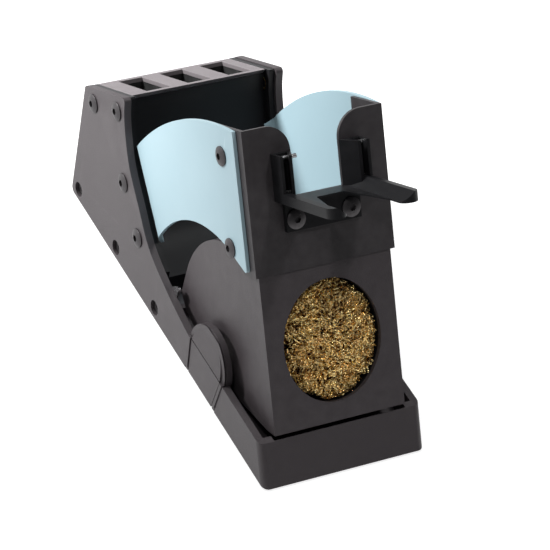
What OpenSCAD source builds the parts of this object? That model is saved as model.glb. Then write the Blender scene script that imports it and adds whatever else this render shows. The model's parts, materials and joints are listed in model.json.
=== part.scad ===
// Tool rest with a spare-tip magazine and a brass-wool cleaner.
// The front faces -Y, the tower is at the back, and +Z is up. Lengths are in millimetres.
// Profiles are drawn in the side view: distance back from the base's front edge, then height.

/* [Base] */
// Width across the two side walls
base_w = 70; // [66:1:74]
// Length of the base along its bottom edge
base_len = 176; // [172:1:180]
// Thickness of the side walls
wall = 3; // [2.6:0.1:3.4]
// Height of the low walls round the front tray
tray_h = 15.3; // [14.8:0.1:16]
// Lean of the front wall, the wool box and the front plate from the vertical
lean = 32; // [30:0.5:34]
// How far the rubber feet hold the base off the table
foot_stand = 0.8; // [0.5:0.1:1.2]

/* [Tower] */
// Slope of the tower's top, falling to the back
top_slope = 31; // [29:0.5:33]
// Height of the tower's top at its back edge
tower_back_z = 53.2; // [52:0.1:54]
// Width of each magazine slot
slot_w = 10.3; // [8:0.1:11]
// Length of each magazine slot along the sloping top
slot_len = 25.8; // [22:0.1:26]
// Distance between slot centres
slot_pitch = 18; // [16:0.5:18.5]
// Sideways shift of the three slots from the middle
slot_shift = 1.5; // [0:0.1:2]

/* [Head] */
// Height of the head's tilting axis above the base's bottom
pivot_z = 15; // [14.5:0.1:15.5]
// Width across the front plate's flanges
plate_w = 59.2; // [58:0.1:60]
// Height of the front plate along its slope
plate_h = 55.8; // [54:0.1:57]
// Thickness of the sheet-metal parts
sheet = 1.5; // [1.2:0.1:1.8]
// Width of the notch that the tool drops through
notch_w = 20.4; // [18:0.2:22]
// Height of the notch's floor above the plate's lower edge
notch_floor = 28; // [26:0.5:30]
// Length of the fork's fingers in front of the plate
finger_len = 43.5; // [36:0.1:46]

/* [Wool] */
// Width of the wool opening
wool_w = 41.5; // [38:0.1:42]
// Height of the wool opening along the slope
wool_h = 48; // [44:0.1:49]
// Depth of the well behind the opening
well_depth = 23.6; // [20:0.2:24]

/* [Hidden] */

half_w = base_w / 2;
in_w = half_w - wall;
tower_w = in_w - 0.1;
tower_back_y = base_len + 2.5;
total_len = tower_back_y;
tower_front_y = 147;
tower_front_z = tower_back_z + (tower_back_y - tower_front_y) * tan(top_slope);
wall_front_y = tray_h * tan(lean);

// Side view points of the cheek's S-shaped front edge, from the tray wall to the tower's top.
edge_points = [[72, tray_h], [91.5, 19.4], [110, 25.8], [123, 36.4], [134.6, 46.6],
               [141, 56], [145.2, 64.5], [tower_front_y, tower_front_z]];
// Shifts from the cheek's edge back to the tower's side walls and to its front panel
side_shift = [1.3, -0.9];
panel_shift = [5.2, -3];

deck_z = 1.2;
deck_t = 2;
ballast_y = [94, 174];
ballast_z = [0.6, 7.4];
rear_wall = 1.8;
hole_y = [98.3, 134.4, 170.5];
hole_z = 4.6;
hole_r = 3.1;
foot_r = 5;
foot_y = [16, 160];
foot_x = 24;

tower_t = 1.8;
tower_floor_z = 7.6;
tower_side = 2.3;
lip_y = 150.9;
lid_t = 2.2;
insert_r = 2.8;
tower_front_floor_y = 100;
tube_t = 0.8;
tube_gap = 0.15;
tube_lean = 22.4;
tube_len = 40;
slot_back_gap = 3.4;
cheek_screw_at = [[169.8, 51], [151.2, 62.3], [137.2, 36.9], [119.6, 23]];

pivot_y = 56;
spring_at = [96, 14.4];
ear_r = 14.7;
ear_in = 30.9;
cover_in = half_w - 1.6;
pin_r = 3;
bush_r = 4.5;
bush_flange_r = 7.5;
tab_foot = 12.6;
tab_z = 0.3;
bead_in = 1.9;
crease_z = 15.7;

plate_y = 42.2;
plate_z = 69.6;
plate_half = plate_w / 2;
flange_depth = 21;
flange_low = 10;
box_half = plate_half - sheet;
box_t = 2;
box_drop = 61.4;
box_face = -0.9;
rear_arc = [50.5, 27.1, 40.8];
wool_u = -29.9;
well_t = 1;
wool_gap = 0.5;

guard_arc_out = [21.8, -5.3, 130.9];
guard_arc_in = [56.4, 9.7, 58.2];
guard_front_gap = 4.3;
guard_screw_at = [[79, 99.4], [60.6, 69.4]];
guard_rear = [[112.6, 24.9], [141.4, 50]];
guard_bend = 5;
guard_bend_in = 3.4;
nut_face = 26;

screw_r = 1.97;
head_r = 3.8;
head_h = 1.4;
head_dome = 8.5;
nut_flats = 7;
nut_h = 3.2;
fork_screw_x = 11.7;
fork_screw_u = 19.8;
fork_t = 2;
shelf_t = 0.6;
shelf_n = 8.3;
channel_top = 45.4;
channel_x = 18.8;
tip_r = 3.9;
fork_pin_u = [30.8, 43.9];
fork_pin_n = 3.6;
fork_pin_r = 0.8;

// ---------------------------------------------------------------- helpers

// Points of an arc round [c[0], c[1]] of radius c[2], from angle a to angle b.
function arc(c, a, b, n = 12) =
    [for (i = [0:n]) let (t = a + (b - a) * i / n) [c[0] + c[2] * cos(t), c[1] + c[2] * sin(t)]];

// An oval of half-widths a and b.
function oval(a, b, n = 64) = [for (i = [0:n - 1]) let (t = 360 * i / n) [a * cos(t), b * sin(t)]];

// One stretch of a Catmull-Rom curve through p1 and p2.
function blend(p0, p1, p2, p3, t) =
    0.5 * (2 * p1 + (p2 - p0) * t + (2 * p0 - 5 * p1 + 4 * p2 - p3) * t * t
    + (3 * p1 - p0 - 3 * p2 + p3) * t * t * t);

// A smooth curve through all the points.
function smooth(p, steps = 5) =
    let (m = len(p) - 1)
    [for (i = [0:m - 1]) for (s = [0:steps - 1])
        blend(p[max(i - 1, 0)], p[i], p[i + 1], p[min(i + 2, m)], s / steps), p[m]];

function shifted(p, d) = [for (q = p) q + d];

function unit(v) = v / norm(v);

// The corner b between a and c, rounded to radius r.
function rounded(a, b, c, r, n = 6) =
    let (u = unit(a - b), v = unit(c - b), h = acos(u * v) / 2,
         m = b + unit(u + v) * r / sin(h), p = b + u * r / tan(h), q = b + v * r / tan(h))
    [for (i = [0:n]) m + r * unit((p - m) * (1 - i / n) + (q - m) * i / n)];

// The side wall's outline in the side view.
function cheek_outline() =
    let (e = cheek_edge(), n = len(e), rear_top = [tower_back_y, tower_back_z], rear_low = [base_len, 0])
    concat([[0, 0]], rounded([0, 0], rear_low, rear_top, 2.5), rounded(rear_low, rear_top, e[n - 1], 2),
        rounded(rear_top, e[n - 1], e[n - 3], 1.6), [for (i = [n - 3:-1:0]) e[i]], [[wall_front_y, tray_h]]);
function cheek_edge() = smooth(edge_points);
function panel_edge(d) = [for (q = shifted(cheek_edge(), d)) if (q[0] > tower_front_floor_y) q];

// The rounded tab outline round the pivot, drawn in by g.
function tab_outline(g) = concat(
    [[pivot_y - tab_foot + g, tab_z], [pivot_y + tab_foot - g, tab_z]],
    arc([pivot_y, pivot_z, ear_r - g], 0, 180, 24));

// Places things drawn from the base's front edge into the part's frame.
module placed() { translate([0, -total_len / 2, foot_stand]) children(); }

// Makes the left-hand copy of a piece drawn on the +X side.
module on_side(s) { mirror([s < 0 ? 1 : 0, 0, 0]) children(); }

// Extrudes a side-view outline from x0 to x1.
module slab(x0, x1) { translate([x0, 0, 0]) rotate([90, 0, 90]) linear_extrude(x1 - x0) children(); }

// A cylinder along X at a side-view point, from x0 to x1.
module rod(at, r, x0, x1, sides = 48) {
    translate([x0, at[0], at[1]]) rotate([0, 90, 0]) cylinder(r = r, h = x1 - x0, $fn = sides);
}

// The front plate's own frame: X across, Y up the slope, Z out of its front face.
module on_plate() { translate([0, plate_y, plate_z]) rotate([90 - lean, 0, 0]) children(); }

// Extrudes a plan outline, across and out from the plate, between two heights on the slope.
module shelf(u0, u1) { translate([0, u1, 0]) rotate([90, 0, 0]) linear_extrude(u1 - u0) children(); }

// Button-head screw: the head stands on z = 0 and the shank goes down.
module button_screw(shank) {
    difference() {
        rotate_extrude($fn = 48) polygon(concat(
            [[0, -0.3], [screw_r, -0.3], [screw_r, 0], [head_r, 0]],
            arc([0, head_h - head_dome, head_dome], 63, 87, 4), [[0, head_h]]));
        translate([0, 0, head_h - 1]) cylinder(r = 1.45, h = 3, $fn = 6);
    }
    translate([0, 0, -shank]) cylinder(r = screw_r, h = shank, $fn = 32);
}

// Button-head screw along X, its head on the face at x and its shank going in.
module side_screw(at, x, shank) { translate([x, at[0], at[1]]) rotate([0, 90, 0]) button_screw(shank); }

module hex_nut() {
    difference() {
        cylinder(r = nut_flats / sqrt(3), h = nut_h, $fn = 6);
        translate([0, 0, -1]) cylinder(r = screw_r, h = nut_h + 2, $fn = 32);
    }
}

// ---------------------------------------------------------------- base

module base_shell() {
    color("dimgray") placed() difference() {
        union() {
            for (s = [-1, 1]) on_side(s) {
                slab(in_w, half_w) polygon(cheek_outline());
                rod([pivot_y, pivot_z], ear_r, ear_in, cover_in, 96);
            }
            // front wall, deck, cross rib and rear wall
            difference() {
                slab(-in_w, in_w)
                    polygon([[0, 0], [wall, 0], [wall_front_y + wall, tray_h], [wall_front_y, tray_h]]);
                // room for the box's front edge to swing down behind the wall
                translate([-box_half - 0.4, wall_front_y + 0.4, 6]) cube([2 * box_half + 0.8, 2 * wall, tray_h]);
            }
            translate([-in_w, wall, deck_z]) cube([2 * in_w, ballast_y[0] - wall, deck_t]);
            translate([-in_w, ballast_y[0] - 2.4, 0]) cube([2 * in_w, 2.3, 8]);
            translate([-in_w, base_len - rear_wall, 0]) cube([2 * in_w, rear_wall, ballast_z[1]]);
        }
        for (s = [-1, 1]) on_side(s) {
            slab(cover_in, half_w + 1) polygon(concat(
                [[pivot_y - tab_foot, -1], [pivot_y + tab_foot, -1]],
                arc([pivot_y, pivot_z, ear_r + 0.05], 0, 180, 24)));
            rod([pivot_y, pivot_z], pin_r, 25, half_w + 1);
            rod([pivot_y, pivot_z], 5.6, cover_in - 1.2, half_w + 1);
            for (at = cheek_screw_at) rod(at, 2.2, 30, half_w + 1, 32);
            for (y = hole_y) {
                rod([y, hole_z], 2.2, 30, half_w + 1, 32);
                rod([y, hole_z], hole_r, in_w + 0.6, half_w + 1);
            }
            rod(spring_at, 1.2, in_w - 0.7, in_w + 1.7, 24);
        }
    }
}

module ballast_block() {
    color("gray") placed() difference() {
        translate([-in_w, ballast_y[0], ballast_z[0]])
            cube([2 * in_w, ballast_y[1] - ballast_y[0], ballast_z[1] - ballast_z[0]]);
        for (s = [-1, 1], y = hole_y) on_side(s) rod([y, hole_z], screw_r, in_w - 12, in_w + 1, 32);
    }
}

module side_screws(s) {
    color("silver") placed() on_side(s) for (y = hole_y) difference() {
        union() {
            rod([y, hole_z], screw_r, in_w - 9, in_w + 0.6, 32);
            rod([y, hole_z], hole_r - 0.25, in_w + 0.6, in_w + 1.6);
        }
        rod([y, hole_z], 1.3, in_w + 0.8, in_w + 3, 6);
    }
}

module rubber_feet() {
    color("black") translate([0, -total_len / 2, 0]) for (x = [-foot_x, foot_x]) {
        translate([x, foot_y[0], 0]) cylinder(r = foot_r, h = foot_stand + deck_z, $fn = 48);
        translate([x, foot_y[1], 0]) cylinder(r = foot_r, h = foot_stand + ballast_z[0], $fn = 48);
    }
}

// ---------------------------------------------------------------- tower

// The tower's top line at side-view distance y.
function top_z(y) = tower_back_z + (tower_back_y - y) * tan(top_slope) - 0.4;

// The magazine's outline behind the cheek's edge shifted by d, drawn in by t on every side.
function tower_outline(d, t) =
    let (e = [for (q = panel_edge(d)) if (q[1] + 1.2 * t < top_z(q[0])) q + [t * 0.93, -t * 0.6]],
         lip = e[len(e) - 1][0] + 0.6, back = tower_back_y - 0.2)
    concat([[tower_front_floor_y + t, tower_floor_z + t]], e,
        [[lip, top_z(lip) - t / cos(top_slope)], [back - t, top_z(back - t) - t / cos(top_slope)],
         [base_len - rear_wall - t, tower_floor_z + t]]);

// The slanting space of one magazine slot, grown by g and reaching from above the top down by depth.
function slot_outline(g, depth) =
    let (c = cos(top_slope), s = sin(top_slope),
         back = [tower_back_y - slot_back_gap * c, top_z(tower_back_y - slot_back_gap * c)],
         front = back + slot_len * [-c, s],
         along = [-sin(tube_lean), -cos(tube_lean)], gb = [g * c, -g * s])
    [back + gb - 4 * along, back + gb + depth * along, front - gb + depth * along, front - gb - 4 * along];

function slot_x(i) = slot_shift + i * slot_pitch;

module tower_body() {
    color([0.13, 0.13, 0.14]) placed() difference() {
        union() {
            difference() {
                slab(-tower_w + tower_side, tower_w - tower_side) polygon(tower_outline(panel_shift, 0));
                slab(-tower_w + tower_side - 1, tower_w - tower_side + 1)
                    polygon(tower_outline(panel_shift, tower_t));
            }
            for (s = [-1, 1]) on_side(s)
                slab(tower_w - tower_side, tower_w) polygon(tower_outline(side_shift, 0));
        }
        slab(-tower_w + tower_side, tower_w - tower_side) polygon(plate_outline(lip_y - 3, -8));
        for (s = [-1, 1], at = cheek_screw_at) on_side(s)
            rod(at, insert_r, tower_w - tower_side, tower_w + 1, 32);
    }
}

// The slot plate's outline from distance y0 back, its upper face raised by -up.
function plate_outline(y0, up = 0) = [for (q = [[y0, up], [tower_back_y - 0.2, up], [tower_back_y - 0.2, lid_t],
    [y0 + lid_t * 0.5, lid_t]]) [q[0], top_z(q[0]) - q[1]]];

module slot_plate() {
    color("gray") placed() difference() {
        slab(-tower_w + tower_side + 0.1, tower_w - tower_side - 0.1) polygon(plate_outline(lip_y));
        for (i = [-1:1]) slab(slot_x(i) - slot_w / 2, slot_x(i) + slot_w / 2) polygon(slot_outline(0, 6));
    }
}

module tip_tube(i) {
    color("dimgray") placed() difference() {
        intersection() {
            slab(slot_x(i) - slot_w / 2 - tube_t, slot_x(i) + slot_w / 2 + tube_t)
                polygon(slot_outline(tube_t, tube_len));
            slab(-tower_w + tower_side, tower_w - tower_side) polygon(tower_outline(panel_shift, tower_t + tube_gap));
        }
        slab(slot_x(i) - slot_w / 2, slot_x(i) + slot_w / 2) polygon(slot_outline(0, tube_len - 1.5));
    }
}

module cheek_screws(s) {
    color("silver") placed() on_side(s) for (at = cheek_screw_at) side_screw(at, half_w, wall + tower_side);
}

module cheek_inserts(s) {
    color("gold") placed() on_side(s) for (at = cheek_screw_at) difference() {
        rod(at, insert_r, tower_w - tower_side, tower_w, 32);
        rod(at, screw_r, 25, tower_w + 1, 32);
    }
}

// ---------------------------------------------------------------- pivot

// The cover's bead runs up both legs to the crease; above it the rim steps down round a panel that leans back.
module pivot_cover(s) {
    color("dimgray") placed() on_side(s) {
        difference() {
            union() {
                slab(cover_in, cover_in + 0.5) polygon(tab_outline(1));
                slab(cover_in + 0.5, half_w) polygon(tab_outline(0.1));
            }
            slab(half_w - 0.6, half_w + 1) difference() {
                polygon(tab_outline(bead_in));
                polygon(tab_outline(bead_in + 0.7));
            }
            slab(half_w - 0.8, half_w + 1) difference() {
                polygon(tab_outline(-1));
                polygon(tab_outline(bead_in + 0.4));
                translate([pivot_y - 20, -1]) square([40, crease_z + 1]);
            }
            slab(half_w - 0.35, half_w + 1) translate([pivot_y - 12, crease_z - 0.25]) square([24, 0.5]);
            translate([half_w, pivot_y - 13, crease_z]) rotate([0, -4.8, 0]) cube([3, 26, 20]);
        }
        slab(half_w - 0.2, half_w + 0.35) difference() {
            polygon(tab_outline(0.3));
            polygon(tab_outline(bead_in));
            translate([pivot_y - 20, -1]) square([40, 2.8]);
            translate([pivot_y - 20, crease_z]) square([40, 20]);
        }
    }
}

module pivot_pin(s) {
    color("silver") placed() on_side(s) {
        rod([pivot_y, pivot_z], pin_r, box_half - box_t - 0.9, cover_in - 1.2);
        rod([pivot_y, pivot_z], 5.5, cover_in - 1.2, cover_in);
    }
}

module pivot_bush(s) {
    color("ivory") placed() on_side(s) difference() {
        union() {
            rod([pivot_y, pivot_z], bush_r, box_half - box_t - 1, box_half);
            rod([pivot_y, pivot_z], bush_flange_r, box_half, ear_in - 0.3);
        }
        rod([pivot_y, pivot_z], pin_r + 0.05, 20, 40);
    }
}

module index_spring(s) {
    color("silver") placed() on_side(s) {
        difference() {
            slab(in_w - 0.7, in_w) polygon([[88.6, 18.2], [92.4, 11.4], [99, 11.4], [99, 17.6],
                [94.6, 18.6], [90.4, 22.4], [88.6, 21.6]]);
            rod(spring_at, 1.2, 25, 40, 24);
        }
        rod([90, 20.3], 1.1, in_w - 1.9, in_w - 0.7, 24);
    }
}

module spring_screw(s) {
    color("silver") placed() on_side(s) {
        rod(spring_at, 1.18, in_w - 0.7, in_w + 1.6, 24);
        rod(spring_at, 2.4, in_w - 1.9, in_w - 0.7, 32);
    }
}

// ---------------------------------------------------------------- head

// A side-view point at height u on the slope and distance n in front of the plate.
function head_point(u, n) =
    [plate_y + u * sin(lean) - n * cos(lean), plate_z + u * cos(lean) + n * sin(lean)];

function flange_outline(g) = [head_point(-g, -g), head_point(plate_h + g, -g), head_point(plate_h + g, -flange_depth - g),
    head_point(flange_low - g, -flange_depth - g), head_point(-g, -9)];

// The wool box's outline in the side view.
function box_outline() = concat(
    [head_point(-box_drop, box_face), [16, 14.6], [37, 9.6], [72, 9.6], [86, 12.4], [92, 17.3]],
    arc(rear_arc, 6, 82, 16),
    [head_point(3, -12), head_point(3, -sheet), head_point(-0.2, -sheet), head_point(-0.2, box_face)]);

// The box's hollow, drawn in by its wall.
function box_inner() = concat(
    [head_point(-box_drop + 4, box_face - box_t), [18, 17], [38, 11.6], [71, 11.6], [84.6, 14.2], [89.6, 19]],
    arc([rear_arc[0], rear_arc[1], rear_arc[2] - box_t], 6, 82, 16),
    [head_point(0.6, -12), head_point(0.6, -sheet - box_t)]);

module wool_box() {
    color("dimgray") placed() difference() {
        union() {
            difference() {
                slab(-box_half, box_half) polygon(box_outline());
                slab(-box_half + box_t, box_half - box_t) polygon(box_inner());
            }
            for (s = [-1, 1]) on_side(s) {
                rod(guard_screw_at[1], 6.2, nut_face, box_half, 32);
                rod([pivot_y, pivot_z], bush_r + 2, box_half - box_t - 1, box_half, 48);
            }
        }
        for (s = [-1, 1]) on_side(s) {
            rod(guard_screw_at[1], 4.8, nut_face - nut_h - 0.4, nut_face, 32);
            rod(guard_screw_at[1], 2.1, 20, 40, 32);
            rod([pivot_y, pivot_z], bush_r, 20, 40);
        }
        on_plate() translate([0, wool_u, box_face]) {
            translate([0, 0, -box_t - 1]) linear_extrude(20) polygon(oval(wool_w / 2, wool_h / 2));
            translate([0, 0, -well_depth]) linear_extrude(well_depth - box_t)
                polygon(oval(wool_w / 2 + well_t, wool_h / 2 + well_t));
        }
    }
}

module wool_well() {
    color([0.1, 0.1, 0.1]) placed() on_plate() translate([0, wool_u, box_face]) difference() {
        translate([0, 0, -well_depth]) linear_extrude(well_depth - box_t)
            polygon(oval(wool_w / 2 + well_t, wool_h / 2 + well_t));
        translate([0, 0, -well_depth + well_t]) linear_extrude(well_depth) polygon(oval(wool_w / 2, wool_h / 2));
    }
}

module brass_wool() {
    color("goldenrod") placed() on_plate() translate([0, wool_u, box_face]) {
        translate([0, 0, -well_depth + well_t + 0.3])
            linear_extrude(well_depth - 4.5) polygon(oval(wool_w / 2 - wool_gap, wool_h / 2 - wool_gap));
        translate([0, 0, -4]) linear_extrude(2.4) polygon(oval(wool_w / 2 - 3, wool_h / 2 - 3));
    }
}

// Half of the front plate's outline, with the notch's rounded shoulder.
function half_plate() = concat(
    [[0, 0], [plate_half, 0], [plate_half, plate_h]],
    arc([notch_w / 2 + 10, plate_h - 10, 10], 90, 180, 10),
    [[notch_w / 2, notch_floor], [0, notch_floor]]);

module front_plate() {
    color([0.15, 0.15, 0.15]) placed() difference() {
        union() {
            on_plate() translate([0, 0, -sheet]) linear_extrude(sheet) {
                polygon(half_plate());
                mirror([1, 0]) polygon(half_plate());
            }
            for (s = [-1, 1]) on_side(s) slab(plate_half - sheet, plate_half) polygon(flange_outline(0));
        }
        for (s = [-1, 1], at = guard_screw_at) on_side(s) rod(at, 2.1, 25, 40, 32);
        on_plate() for (x = [-fork_screw_x, fork_screw_x])
            translate([x, fork_screw_u, -5]) cylinder(r = 2.1, h = 10, $fn = 32);
    }
}

// Angle of point p round the arc's centre.
function turn(c, p) = atan2(p[1] - c[1], p[0] - c[0]);

// The guard's fan-shaped outline, with a rounded tip beside the plate's lower corner.
function guard_outline() =
    let (top = head_point(plate_h + 1.2, -guard_front_gap), tip = head_point(1, -guard_front_gap),
         inner = arc(guard_arc_in, 92, turn(guard_arc_in, guard_rear[0]), 18))
    concat(
        arc(guard_arc_out, turn(guard_arc_out, guard_rear[1]), turn(guard_arc_out, top), 20),
        rounded(top, tip, inner[0], 1.1), inner);

// Section of the guard's sheet: across the head, then forwards from its rear edge.
function guard_section() =
    let (inner = plate_half, outer = plate_half + sheet, dip = guard_bend_in * 0.35, knee = guard_bend * 0.45)
    [[inner, guard_bend], [inner, 150], [outer, 150], [outer, guard_bend], [outer - dip, knee],
     [outer - guard_bend_in, -1], [inner - guard_bend_in, -1], [inner - dip, knee]];

module guard(s) {
    rear_angle = atan2(guard_rear[1][1] - guard_rear[0][1], guard_rear[1][0] - guard_rear[0][0]);
    color("lightblue") placed() on_side(s) difference() {
        intersection() {
            slab(plate_half - 6, plate_half + sheet) polygon(guard_outline());
            translate([0, guard_rear[0][0], guard_rear[0][1]]) rotate([rear_angle + 90, 0, 0])
                translate([0, 0, -100]) linear_extrude(160) polygon(guard_section());
        }
        for (at = guard_screw_at) rod(at, 2.1, 20, 40, 32);
    }
}

module guard_screws(s) {
    color("silver") placed() on_side(s) for (at = guard_screw_at) side_screw(at, plate_half + sheet, 7.4);
}

module guard_nuts(s) {
    color("silver") placed() on_side(s) {
        translate([plate_half - sheet - nut_h, guard_screw_at[0][0], guard_screw_at[0][1]])
            rotate([0, 90, 0]) hex_nut();
        translate([nut_face - nut_h, guard_screw_at[1][0], guard_screw_at[1][1]])
            rotate([0, 90, 0]) hex_nut();
    }
}

// Half of the fork in plan: across the plate, then out from it to the finger's round tip.
function half_fork() = concat(
    [[0, 0], [0, shelf_n], [5.6, shelf_n], [9.9, 26], [channel_x - 2 * tip_r, 34]],
    arc([channel_x - tip_r, finger_len - tip_r, tip_r], 170, 0, 12), [[channel_x, 0]]);

// Section of a finger: across the plate, then up the slope.
function finger_section() = [[0, notch_floor - shelf_t], [channel_x, notch_floor - shelf_t],
    [channel_x, notch_floor + 3.3], [16.2, notch_floor + 3.5], [11.4, notch_floor], [0, notch_floor]];

// Plan of the upright channel, whose inner wall flares away from the notch.
function channel_plan() = [[notch_w / 2, 0], [13.9, shelf_n - 0.3], [15.2, shelf_n - 0.3], [13, 2.2],
    [channel_x - 1.2, 2.2], [channel_x - 1.2, shelf_n - 0.3], [channel_x, shelf_n - 0.3], [channel_x, 0]];

// The pins across the channels: the upper left one also sticks out towards the notch.
module channel_pin(s, u) {
    start = s < 0 && u > fork_pin_u[0] ? 10 : 12.3;
    translate([start, u, fork_pin_n]) rotate([0, 90, 0])
        cylinder(r = fork_pin_r, h = channel_x - 0.5 - start, $fn = 24);
}

module tool_fork() {
    color([0.12, 0.12, 0.12]) placed() on_plate() difference() {
        for (s = [-1, 1]) on_side(s) {
            translate([0, 15.3, 0]) cube([15.8, notch_floor - 15.3, fork_t]);
            intersection() {
                shelf(notch_floor - 6, notch_floor + 8) polygon(half_fork());
                linear_extrude(finger_len + 6) polygon(finger_section());
            }
            shelf(notch_floor - shelf_t, channel_top) polygon(channel_plan());
        }
        for (x = [-fork_screw_x, fork_screw_x]) translate([x, fork_screw_u, -1]) cylinder(r = 2.1, h = 10, $fn = 32);
        for (u = fork_pin_u, s = [-1, 1]) on_side(s) channel_pin(s, u);
    }
}

module fork_screws() {
    color("silver") placed() on_plate() for (x = [-fork_screw_x, fork_screw_x])
        translate([x, fork_screw_u, fork_t]) button_screw(7.2);
}

module fork_nuts() {
    color("silver") placed() on_plate() for (x = [-fork_screw_x, fork_screw_x])
        translate([x, fork_screw_u, -sheet - nut_h]) hex_nut();
}

module fork_pins(s) {
    color("silver") placed() on_plate() on_side(s) for (u = fork_pin_u) channel_pin(s, u);
}

// ---------------------------------------------------------------- what is drawn

base_shell();
ballast_block();
side_screws(-1);  // side_screws_left
side_screws(1);  // side_screws_right
rubber_feet();
tower_body();
slot_plate();
tip_tube(-1);  // tip_tube_left
tip_tube(0);  // tip_tube_middle
tip_tube(1);  // tip_tube_right
cheek_screws(-1);  // cheek_screws_left
cheek_screws(1);  // cheek_screws_right
cheek_inserts(-1);  // cheek_inserts_left
cheek_inserts(1);  // cheek_inserts_right
pivot_cover(-1);  // pivot_cover_left
pivot_cover(1);  // pivot_cover_right
pivot_pin(-1);  // pivot_pin_left
pivot_pin(1);  // pivot_pin_right
index_spring(-1);  // index_spring_left
index_spring(1);  // index_spring_right
spring_screw(-1);  // spring_screw_left
spring_screw(1);  // spring_screw_right
wool_box();
wool_well();
pivot_bush(-1);  // pivot_bush_left
pivot_bush(1);  // pivot_bush_right
front_plate();
guard(-1);  // guard_left
guard(1);  // guard_right
guard_screws(-1);  // guard_screws_left
guard_screws(1);  // guard_screws_right
guard_nuts(-1);  // guard_nuts_left
guard_nuts(1);  // guard_nuts_right
tool_fork();
fork_screws();
fork_nuts();
fork_pins(-1);  // fork_pins_left
fork_pins(1);  // fork_pins_right
brass_wool();
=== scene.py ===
"""Looks for the soldering tool stand.

A camera, soft light, materials, softened edges and the brass wool's coils.
"""

import json
import math
import random

import bmesh
import bpy
from mathutils import Matrix, Vector

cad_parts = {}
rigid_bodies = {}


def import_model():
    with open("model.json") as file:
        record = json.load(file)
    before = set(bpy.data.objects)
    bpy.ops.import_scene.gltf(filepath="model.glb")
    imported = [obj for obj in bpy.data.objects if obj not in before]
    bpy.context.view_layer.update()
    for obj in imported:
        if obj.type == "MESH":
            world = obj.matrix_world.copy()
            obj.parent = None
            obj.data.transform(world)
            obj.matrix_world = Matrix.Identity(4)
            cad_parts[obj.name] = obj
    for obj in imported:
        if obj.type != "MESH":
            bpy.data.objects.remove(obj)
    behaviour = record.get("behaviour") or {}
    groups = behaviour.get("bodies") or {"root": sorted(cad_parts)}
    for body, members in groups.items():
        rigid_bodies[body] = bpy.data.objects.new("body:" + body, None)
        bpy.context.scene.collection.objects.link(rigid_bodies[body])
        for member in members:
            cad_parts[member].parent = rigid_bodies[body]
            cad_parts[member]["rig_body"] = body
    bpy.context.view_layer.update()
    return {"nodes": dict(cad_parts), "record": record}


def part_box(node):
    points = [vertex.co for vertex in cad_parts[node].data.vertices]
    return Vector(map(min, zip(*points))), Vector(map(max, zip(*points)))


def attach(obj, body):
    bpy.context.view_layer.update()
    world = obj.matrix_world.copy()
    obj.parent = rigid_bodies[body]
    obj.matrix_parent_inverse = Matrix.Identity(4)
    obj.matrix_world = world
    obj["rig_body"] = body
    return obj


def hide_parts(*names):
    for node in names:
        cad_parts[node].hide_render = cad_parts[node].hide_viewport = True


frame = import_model()
MM = 0.001
scene = bpy.context.scene

# ---------------------------------------------------------------- camera

CAMERA_AZIMUTH = 35.57  # degrees to the left of straight ahead
CAMERA_ELEVATION = 42.08  # degrees
CAMERA_ROLL = 12.67  # degrees
CAMERA_DISTANCE = 1207 * MM
CAMERA_OFFSET = Vector((26.7, -73.9, 0)) * MM  # where the front foot lies in the view, right and up
CAMERA_LENS = 208.3  # mm


def front_foot():
    """The middle of the base's front bottom edge."""
    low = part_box("base_shell")[0]
    return Vector((0, low.y, low.z))


def make_camera():
    """The photograph's camera, placed from the front foot."""
    a, e, r = (math.radians(x) for x in (CAMERA_AZIMUTH, CAMERA_ELEVATION, CAMERA_ROLL))
    back = Vector((-math.sin(a) * math.cos(e), -math.cos(a) * math.cos(e), math.sin(e)))
    level = Vector((0, 0, 1)).cross(back).normalized()
    upright = back.cross(level)
    right = math.cos(r) * level + math.sin(r) * upright
    up = math.cos(r) * upright - math.sin(r) * level
    place = front_foot() - CAMERA_OFFSET.x * right - CAMERA_OFFSET.y * up + CAMERA_DISTANCE * back
    camera = bpy.data.objects.new("camera", bpy.data.cameras.new("camera"))
    camera.data.lens = CAMERA_LENS
    camera.data.clip_start = 0.05
    camera.data.clip_end = 20
    turn = Matrix((right, up, back)).transposed().to_4x4()
    camera.matrix_world = Matrix.Translation(place) @ turn
    scene.collection.objects.link(camera)
    scene.camera = camera


make_camera()

# ---------------------------------------------------------------- light

scene.view_settings.view_transform = "Standard"

SOFTBOX_TARGET = Vector((0, 0, 0.05))
SOFTBOX_DISTANCE = 1.2  # metres


def add_lamp(name, light, target, direction, distance):
    """A lamp that stands off from the target in a direction and shines back at it."""
    lamp = bpy.data.objects.new(name, light)
    away = Vector(direction).normalized()
    lamp.location = target + away * distance
    lamp.rotation_mode = "QUATERNION"
    lamp.rotation_quaternion = away.to_track_quat("Z", "Y")
    scene.collection.objects.link(lamp)


def soft_light(name, direction, size, strength):
    """A square softbox; strength is what it adds to a white surface that faces it."""
    light = bpy.data.lights.new(name, "AREA")
    light.size = size
    light.energy = math.pi ** 2 * SOFTBOX_DISTANCE ** 2 * strength
    add_lamp(name, light, SOFTBOX_TARGET, direction, SOFTBOX_DISTANCE)


def spot_light(name, target, direction, distance, cone, softness, strength):
    """A soft-edged spot; strength is what it adds to a white surface at the target that faces it.

    The target is in mm, the distance and the softness in metres and the cone in degrees.
    """
    light = bpy.data.lights.new(name, "SPOT")
    light.energy = 4 * math.pi ** 2 * distance ** 2 * strength
    light.spot_size = math.radians(cone)
    light.spot_blend = 1.0
    light.shadow_soft_size = softness
    add_lamp(name, light, Vector(target) * MM, direction, distance)


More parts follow.
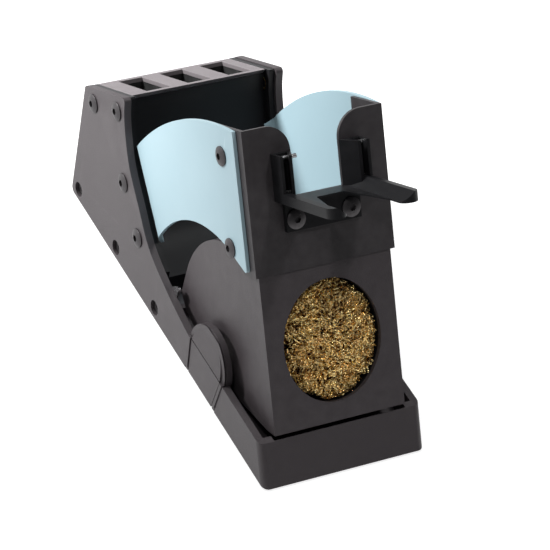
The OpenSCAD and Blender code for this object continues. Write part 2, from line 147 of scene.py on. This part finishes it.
spot_light(
    "key_left_rear", target=(-35, 125, 95), direction=(-0.72, 0.56, 0.44),
    distance=0.6, cone=26, softness=0.09, strength=4.0)
soft_light("top_rear", direction=(-0.10, 0.45, 0.90), size=0.9, strength=0.70)
soft_light("front_top", direction=(0.20, -0.25, 0.95), size=0.10, strength=0.25)
soft_light("front_left", direction=(-0.45, -0.35, 0.82), size=0.07, strength=0.14)

world = bpy.data.worlds.new("studio")
world.use_nodes = True
background = world.node_tree.nodes["Background"]
background.inputs["Color"].default_value = (0.95, 0.97, 1.0, 1)
background.inputs["Strength"].default_value = 0.07
scene.world = world

# ---------------------------------------------------------------- node helpers

MIX_FACTOR = 0
MIX_FIRST_COLOUR = 6
MIX_SECOND_COLOUR = 7
MIX_COLOUR_RESULT = 2


class Shader:
    """A small builder for one material's nodes, in object coordinates."""

    def __init__(self, name):
        self.material = bpy.data.materials.new(name)
        self.material.use_nodes = True
        self.tree = self.material.node_tree
        self.principled = self.tree.nodes["Principled BSDF"]
        self.place = self.tree.nodes.new("ShaderNodeTexCoord").outputs["Object"]

    def node(self, kind, links=None, **settings):
        """A new node, with its settings and with links into its inputs."""
        made = self.tree.nodes.new(kind)
        for key, value in settings.items():
            setattr(made, key, value)
        for key, source in (links or {}).items():
            self.tree.links.new(source, made.inputs[key])
        return made

    def noise(self, scale, detail=3.0, roughness=0.5, stretch=None):
        """Noise over the object, stretched along its axes where stretch is given."""
        place = self.place
        if stretch:
            place = self.node("ShaderNodeMapping", {"Vector": place}).outputs["Vector"]
            place.node.inputs["Scale"].default_value = stretch
        made = self.node("ShaderNodeTexNoise", {"Vector": place})
        made.inputs["Scale"].default_value = scale
        made.inputs["Detail"].default_value = detail
        made.inputs["Roughness"].default_value = roughness
        return made.outputs["Fac"]

    def span(self, source, low, high, source_low=0.3, source_high=0.7):
        """The source's range mapped to the range from low to high."""
        made = self.node("ShaderNodeMapRange", {"Value": source})
        made.inputs["From Min"].default_value = source_low
        made.inputs["From Max"].default_value = source_high
        made.inputs["To Min"].default_value = low
        made.inputs["To Max"].default_value = high
        return made.outputs["Result"]

    def mix(self, factor, first, second):
        """A mix of two colours, each a tuple or another node's output."""
        made = self.node("ShaderNodeMix", data_type="RGBA")
        for index, value in ((MIX_FIRST_COLOUR, first), (MIX_SECOND_COLOUR, second)):
            if isinstance(value, tuple):
                made.inputs[index].default_value = (*value, 1)
            else:
                self.tree.links.new(value, made.inputs[index])
        self.tree.links.new(factor, made.inputs[MIX_FACTOR])
        return made.outputs[MIX_COLOUR_RESULT]

    def bump(self, height, strength, distance, after=None):
        """A bump from a height, on top of another bump where after is given."""
        made = self.node("ShaderNodeBump", {"Height": height})
        made.inputs["Strength"].default_value = strength
        made.inputs["Distance"].default_value = distance
        if after:
            self.tree.links.new(after, made.inputs["Normal"])
        return made.outputs["Normal"]

    def edges(self, low=0.51, high=0.58):
        """1 on the outward edges of the mesh, 0 elsewhere."""
        point = self.node("ShaderNodeNewGeometry").outputs["Pointiness"]
        return self.span(point, 0.0, 1.0, low, high)

    def set(self, **values):
        """The finished material, with numbers, colours or links on the shader's sockets."""
        for key, value in values.items():
            socket = self.principled.inputs[key.replace("_", " ")]
            if hasattr(value, "is_output"):
                self.tree.links.new(value, socket)
            elif isinstance(value, tuple):
                socket.default_value = (*value, 1)
            else:
                socket.default_value = value
        return self.material


def tinted(colour, gain, lift=0.0):
    """The colour times gain, plus lift, and never brighter than white."""
    return tuple(min(1.0, c * gain + lift) for c in colour)


# ---------------------------------------------------------------- materials


def coated(name, colour, rough, grain=1.0, grain_size=0.45, wear=0.25, specular=0.5):
    """Moulded plastic or powder coat: fine pebbled grain, faint blotches and paler rubbed edges."""
    s = Shader(name)
    blotch = s.span(s.noise(scale=60, detail=4), low=0.0, high=1.0)
    body = s.mix(blotch, tinted(colour, gain=0.98), tinted(colour, gain=1.02))
    patches = s.span(s.noise(scale=220, detail=4), low=0.1, high=1.0)
    rubbed = s.node("ShaderNodeMath", {0: s.edges(), 1: patches}, operation="MULTIPLY")
    amount = s.node("ShaderNodeMath", {0: rubbed.outputs[0]}, operation="MULTIPLY")
    amount.inputs[1].default_value = wear
    surface = s.mix(amount.outputs[0], body, tinted(colour, gain=2.2, lift=0.05))
    speckle = s.noise(scale=1 / (grain_size * MM), detail=2, roughness=0.6)
    pebbles = s.node("ShaderNodeTexVoronoi", {"Vector": s.place}, feature="SMOOTH_F1")
    pebbles.inputs["Scale"].default_value = 0.8 / (grain_size * MM)
    fine = s.bump(speckle, strength=0.55 * grain, distance=0.08 * MM)
    relief = s.bump(pebbles.outputs["Distance"], strength=0.25 * grain, distance=0.05 * MM, after=fine)
    sheen = s.span(s.noise(scale=35, detail=5), low=rough - 0.02, high=rough + 0.02)
    return s.set(Base_Color=surface, Roughness=sheen, Specular_IOR_Level=specular, Normal=relief)


def metal(name, colour, rough, brushed=(1, 1, 1)):
    """Bare metal with fine tool marks and slightly darker blotches."""
    s = Shader(name)
    dull = s.span(s.noise(scale=180, detail=5), low=0.0, high=0.25)
    body = s.mix(dull, colour, tinted(colour, gain=0.45))
    marks = s.noise(scale=900, detail=3, roughness=0.6, stretch=brushed)
    finish = s.bump(marks, strength=0.25, distance=0.03 * MM)
    sheen = s.span(marks, low=rough - 0.07, high=rough + 0.1)
    return s.set(Base_Color=body, Metallic=1.0, Roughness=sheen, Normal=finish)


def enamel(name, colour, rough):
    """Satin enamel on sheet metal: smooth, with a faint orange peel and paler rubbed edges."""
    s = Shader(name)
    blotch = s.span(s.noise(scale=25, detail=4), low=0.0, high=1.0)
    body = s.mix(blotch, tinted(colour, gain=0.97), tinted(colour, gain=1.03))
    surface = s.mix(s.edges(low=0.515, high=0.6), body, (0.36, 0.47, 0.51))
    peel = s.bump(s.noise(scale=900, detail=2, roughness=0.4), strength=0.12, distance=0.05 * MM)
    sheen = s.span(s.noise(scale=70, detail=4), low=rough - 0.04, high=rough + 0.05)
    return s.set(Base_Color=surface, Roughness=sheen, Specular_IOR_Level=0.3, Normal=peel)


def curl_brass():
    """Thin bright brass turnings, browned in patches, with painted shade in dark brown where they lie deep.
    """
    s = Shader("brass_curls")
    island = s.node("ShaderNodeNewGeometry").outputs["Random Per Island"]
    shade = s.span(island, low=0.0, high=1.0, source_low=0.35, source_high=1.0)
    body = s.mix(shade, (1.0, 0.80, 0.38), (0.98, 0.62, 0.22))
    # Painted shade: the deeper a point lies below the wool's top, the darker brown its colour.
    depth = s.node("ShaderNodeAttribute", attribute_name="depth").outputs["Fac"]
    deep = s.span(depth, low=0.0, high=1.0, source_low=1.2 * MM, source_high=3.0 * MM)
    patches = s.span(s.noise(scale=160, detail=4), low=0.0, high=0.5, source_low=0.5, source_high=0.8)
    # The brown comes from random stain patches and from the painted depth shade together.
    stain_and_shade = s.node("ShaderNodeMath", {0: patches, 1: deep}, operation="ADD", use_clamp=True)
    browned_and_shaded = s.mix(stain_and_shade.outputs[0], body, (0.26, 0.09, 0.025))
    marks = s.noise(scale=1500, detail=3, roughness=0.6)
    finish = s.bump(marks, strength=0.5, distance=0.05 * MM)
    sheen = s.span(marks, low=0.18, high=0.34)
    return s.set(Base_Color=browned_and_shaded, Metallic=1.0, Roughness=sheen, Normal=finish)


def rubber(name):
    """Matt black rubber with a fine grain."""
    s = Shader(name)
    blotch = s.span(s.noise(scale=140, detail=4), low=0.0, high=1.0)
    tone = s.mix(blotch, (0.018, 0.018, 0.018), (0.032, 0.031, 0.03))
    grain = s.bump(s.noise(scale=1800, detail=3), strength=0.3, distance=0.05 * MM)
    return s.set(Base_Color=tone, Roughness=0.85, Normal=grain)


def floor_paper():
    """Grey paper with a white glow of its own, so that the floor looks pale all over."""
    s = Shader("floor_paper")
    blotch = s.span(s.noise(scale=3, detail=3), low=0.0, high=1.0)
    tone = s.mix(blotch, (0.44, 0.44, 0.44), (0.46, 0.46, 0.46))
    return s.set(
        Base_Color=tone, Roughness=0.9, Specular_IOR_Level=0.1,
        Emission_Color=(1.0, 1.0, 1.0), Emission_Strength=0.75)


MATERIALS = {
    "charcoal_plastic": coated(
        "charcoal_plastic", (0.040, 0.0335, 0.0365), rough=0.48, grain=1.5, wear=0.12, specular=0.4),
    "black_plastic": coated(
        "black_plastic", (0.006, 0.006, 0.007), rough=0.42, grain=0.35, wear=0.12, specular=0.2),
    "soft_black": coated("soft_black", (0.007, 0.007, 0.007), rough=0.7, grain=0.6, specular=0.15),
    "ballast_steel": metal("ballast_steel", (0.14, 0.14, 0.15), rough=0.55),
    "screw_steel": metal("screw_steel", (0.085, 0.08, 0.083), rough=0.46),
    "bright_steel": metal("bright_steel", (0.50, 0.50, 0.51), rough=0.28, brushed=(12, 1, 1)),
    "insert_brass": metal("insert_brass", (0.80, 0.60, 0.28), rough=0.3),
    "foot_rubber": rubber("foot_rubber"),
    "front_black": coated(
        "front_black", (0.026, 0.0225, 0.0245), rough=0.48, grain=0.9, grain_size=0.35, wear=0.15,
        specular=0.4),
    "plate_grey": coated("plate_grey", (0.125, 0.112, 0.117), rough=0.50, specular=0.3),
    "guard_blue": enamel("guard_blue", (0.265, 0.375, 0.42), rough=0.42),
    "bush_plastic": coated("bush_plastic", (0.70, 0.68, 0.60), rough=0.45),
    "brass_curl": curl_brass(),
}

# ---------------------------------------------------------------- floor

FLOOR_REACH = 6.0  # metres from the middle to each side


def make_floor():
    """One flat square under the stand, which isn't part of it."""
    corners = [(x * FLOOR_REACH, y * FLOOR_REACH, 0) for x, y in ((-1, -1), (1, -1), (1, 1), (-1, 1))]
    mesh = bpy.data.meshes.new("floor")
    mesh.from_pydata(corners, [], [(0, 1, 2, 3)])
    mesh.materials.append(floor_paper())
    floor = bpy.data.objects.new("floor", mesh)
    scene.collection.objects.link(floor)


make_floor()

# ---------------------------------------------------------------- softened copies of the CAD parts

SAME_POINT = 0.001 * MM  # points nearer than this are merged
FLAT_ANGLE = math.radians(0.4)  # faces that meet at less than this become one
SHARP_ANGLE = math.radians(32)  # edges sharper than this are rounded
ROUNDING_SEGMENTS = 3
TRAY_CORNER_WIDTH = 2.6 * MM
TRAY_CORNER_SEGMENTS = 6
TRAY_CORNER_REACH = 11 * MM  # the tray's corner edges end nearer to the front than this
TRAY_CORNER_HEIGHT = 8 * MM  # and they climb by more than this
TRAY_CORNER_GAP = 0.1 * MM  # and lie this close to the base's side

# The width in mm of the rounding on each CAD node whose name begins so. "guard" covers its screws and nuts.
ROUNDED = {
    "base_shell": 0.45,
    "tower_body": 0.25,
    "slot_plate": 0.25,
    "pivot_cover": 0.2,
    "wool_box": 0.35,
    "front_plate": 0.25,
    "guard": 0.3,
    "tool_fork": 0.3,
    "cheek_screws": 0.12,
    "fork_screws": 0.12,
    "fork_nuts": 0.15,
    "fork_pins": 0.1,
    "side_screws": 0.1,
    "wool_well": 0.15,
    "ballast_block": 0.3,
    "rubber_feet": 0.15,
}


def is_tray_corner(edge, low, high):
    """Is this one of the two sloping front corner edges of the box from low to high?"""
    first, second = (v.co for v in edge.verts)
    for point in (first, second):
        if point.y >= low.y + TRAY_CORNER_REACH:
            return False
        if min(point.x - low.x, high.x - point.x) >= TRAY_CORNER_GAP:
            return False
    return abs(first.z - second.z) > TRAY_CORNER_HEIGHT


def softened(node, slot, width):
    """Puts a copy of a CAD node, with rounded edges, in its place."""
    source = frame["nodes"][node]
    mesh = source.data.copy()
    bm = bmesh.new()
    bm.from_mesh(mesh)
    bmesh.ops.remove_doubles(bm, verts=bm.verts, dist=SAME_POINT)
    bmesh.ops.dissolve_limit(bm, angle_limit=FLAT_ANGLE, verts=bm.verts, edges=bm.edges)
    for face in bm.faces:
        face.smooth = True
    for edge in bm.edges:
        edge.smooth = edge.calc_face_angle(0) < SHARP_ANGLE
    if node == "base_shell":
        low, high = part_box(node)
        corners = [e for e in bm.edges if is_tray_corner(e, low, high)]
        bmesh.ops.bevel(
            bm, geom=corners, offset=TRAY_CORNER_WIDTH, segments=TRAY_CORNER_SEGMENTS, profile=0.5,
            affect="EDGES")
    bm.to_mesh(mesh)
    bm.free()
    mesh.materials.clear()
    mesh.materials.append(MATERIALS[slot])
    piece = bpy.data.objects.new(node + "_rounded", mesh)
    scene.collection.objects.link(piece)
    bevel = piece.modifiers.new("rounding", "BEVEL")
    bevel.width = width * MM
    bevel.segments = ROUNDING_SEGMENTS
    bevel.limit_method = "ANGLE"
    bevel.angle_limit = SHARP_ANGLE
    bevel.harden_normals = True
    bevel.use_clamp_overlap = True
    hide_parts(node)
    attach(piece, source["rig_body"])


SLOTS = {part["node"]: part["material_slot"] for part in frame["record"]["subparts"]}

for node, item in frame["nodes"].items():
    item.data.materials.clear()
    item.data.materials.append(MATERIALS[SLOTS[node]])
    width = next((w for start, w in ROUNDED.items() if node.startswith(start)), None)
    if width:
        softened(node, SLOTS[node], width)

# ---------------------------------------------------------------- brass wool

LEAN = math.radians(32)  # of the box's front, back from the vertical
SLOPE_UP = Vector((0, math.sin(LEAN), math.cos(LEAN)))
SLOPE_OUT = Vector((0, -math.cos(LEAN), math.sin(LEAN)))
ACROSS = Vector((1, 0, 0))
HALF_ACROSS = 19.9 * MM  # the wool fills an oval this big, across and up the slope
HALF_UP = 23.2 * MM
SEED = 7
COILS = 1400
STEPS_PER_TURN = 9
RIBBON_THICKNESS = 0.05 * MM
RIBBON_TWIST = 0.35  # how far the ribbon's width leans out from the coil's axis
WOBBLE = 0.22  # how much a coil's radius varies
WOBBLE_RATE = 2.3  # swings of the radius for each turn
SURFACE_MARGIN = 0.6 * MM  # depths are counted from this far above the wool's top


def wool_centre():
    """The middle of the wool's outermost face."""
    low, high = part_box("brass_wool")
    middle = (low + high) / 2
    reach = max((v.co - middle).dot(SLOPE_OUT) for v in frame["nodes"]["brass_wool"].data.vertices)
    return middle + reach * SLOPE_OUT


def wool_top(across, up):
    """How far the wool stands out of its opening; both places run from -1 to 1.

    The wool is crowned, and it sinks at its rim, at its top and at its left.
    """
    rim = min(1.0, math.hypot(across, up))
    sunk_top = 2.6 * max(0.0, up - 0.35) ** 1.2
    sunk_left = 1.6 * max(0.0, -across - 0.45)
    crown = 1.9 * (1 - rim ** 2.5)
    sunk_rim = 1.5 * rim ** 3
    return (crown - sunk_rim - (sunk_top + sunk_left)) * MM


def ribbon(bm, points, widths):
    """A thin flat strip along the points; widths are vectors across it at each point."""
    rings = []
    for i, point in enumerate(points):
        ahead = points[min(i + 1, len(points) - 1)] - points[max(i - 1, 0)]
        side = widths[i]
        out = ahead.cross(side).normalized() * RIBBON_THICKNESS / 2
        corners = (side / 2 + out, side / 2 - out, -side / 2 - out, -side / 2 + out)
        rings.append([bm.verts.new(point + c) for c in corners])
    for first, second in zip(rings, rings[1:]):
        for k in range(4):
            bm.faces.new((first[k], first[(k + 1) % 4], second[(k + 1) % 4], second[k]))
    bm.faces.new(rings[0])
    bm.faces.new(list(reversed(rings[-1])))


def coil(bm, rng, centre):
    """One bent, uneven coil of ribbon at a random place in the oval."""
    spread = math.sqrt(rng.random())
    around = rng.uniform(0, 2 * math.pi)
    x = HALF_ACROSS * spread * math.cos(around)
    u = HALF_UP * spread * math.sin(around)
    depth = wool_top(x / HALF_ACROSS, u / HALF_UP) - rng.uniform(0.2, 3.4) * MM
    heading = rng.uniform(0, 2 * math.pi)
    tilt = rng.gauss(0, 0.6)
    flat = math.cos(heading) * ACROSS + math.sin(heading) * SLOPE_UP
    axis = flat * math.cos(tilt) + SLOPE_OUT * math.sin(tilt)
    across = axis.orthogonal().normalized()
    lift = axis.cross(across).normalized()
    bend = (across * rng.uniform(-1, 1) + lift * rng.uniform(-1, 1)) * rng.uniform(2, 9)
    radius = rng.uniform(0.7, 1.3) * MM
    pitch = rng.uniform(1.1, 1.9) * MM
    width = rng.uniform(0.35, 0.62) * MM
    turns = rng.uniform(1.6, 4.0)
    steps = int(turns * STEPS_PER_TURN)
    points = []
    widths = []
    for i in range(steps + 1):
        t = i / steps - 0.5
        turn = 2 * math.pi * turns * t + around
        uneven = radius * (1 + WOBBLE * math.sin(WOBBLE_RATE * turn))
        radial = math.cos(turn) * across + math.sin(turn) * lift
        local = axis * (pitch * turns * t) + bend * (MM * t * t) + uneven * radial
        px = x + local.dot(ACROSS)
        pu = u + local.dot(SLOPE_UP)
        pn = depth + local.dot(SLOPE_OUT)
        rim = max(1.0, math.hypot(px / HALF_ACROSS, pu / HALF_UP))
        points.append(centre + px / rim * ACROSS + pu / rim * SLOPE_UP + pn * SLOPE_OUT)
        widths.append((axis + RIBBON_TWIST * radial).normalized() * width)
    ribbon(bm, points, widths)


def brass_wool():
    """Many tight little coils, packed at random; each point keeps how deep it lies."""
    rng = random.Random(SEED)
    centre = wool_centre()
    bm = bmesh.new()
    depth_layer = bm.verts.layers.float.new("depth")
    for _ in range(COILS):
        coil(bm, rng, centre)
    # Each point's depth below the wool's top drives the painted shade in the brass's colour.
    for vert in bm.verts:
        away = vert.co - centre
        top = wool_top(away.dot(ACROSS) / HALF_ACROSS, away.dot(SLOPE_UP) / HALF_UP)
        vert[depth_layer] = max(0.0, top + SURFACE_MARGIN - away.dot(SLOPE_OUT))
    for face in bm.faces:
        face.smooth = True
    mesh = bpy.data.meshes.new("brass_curls")
    bm.to_mesh(mesh)
    bm.free()
    mesh.materials.append(MATERIALS["brass_curl"])
    coils = bpy.data.objects.new("brass_curls", mesh)
    scene.collection.objects.link(coils)
    return coils


curls = brass_wool()
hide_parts("brass_wool")
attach(curls, "wool")
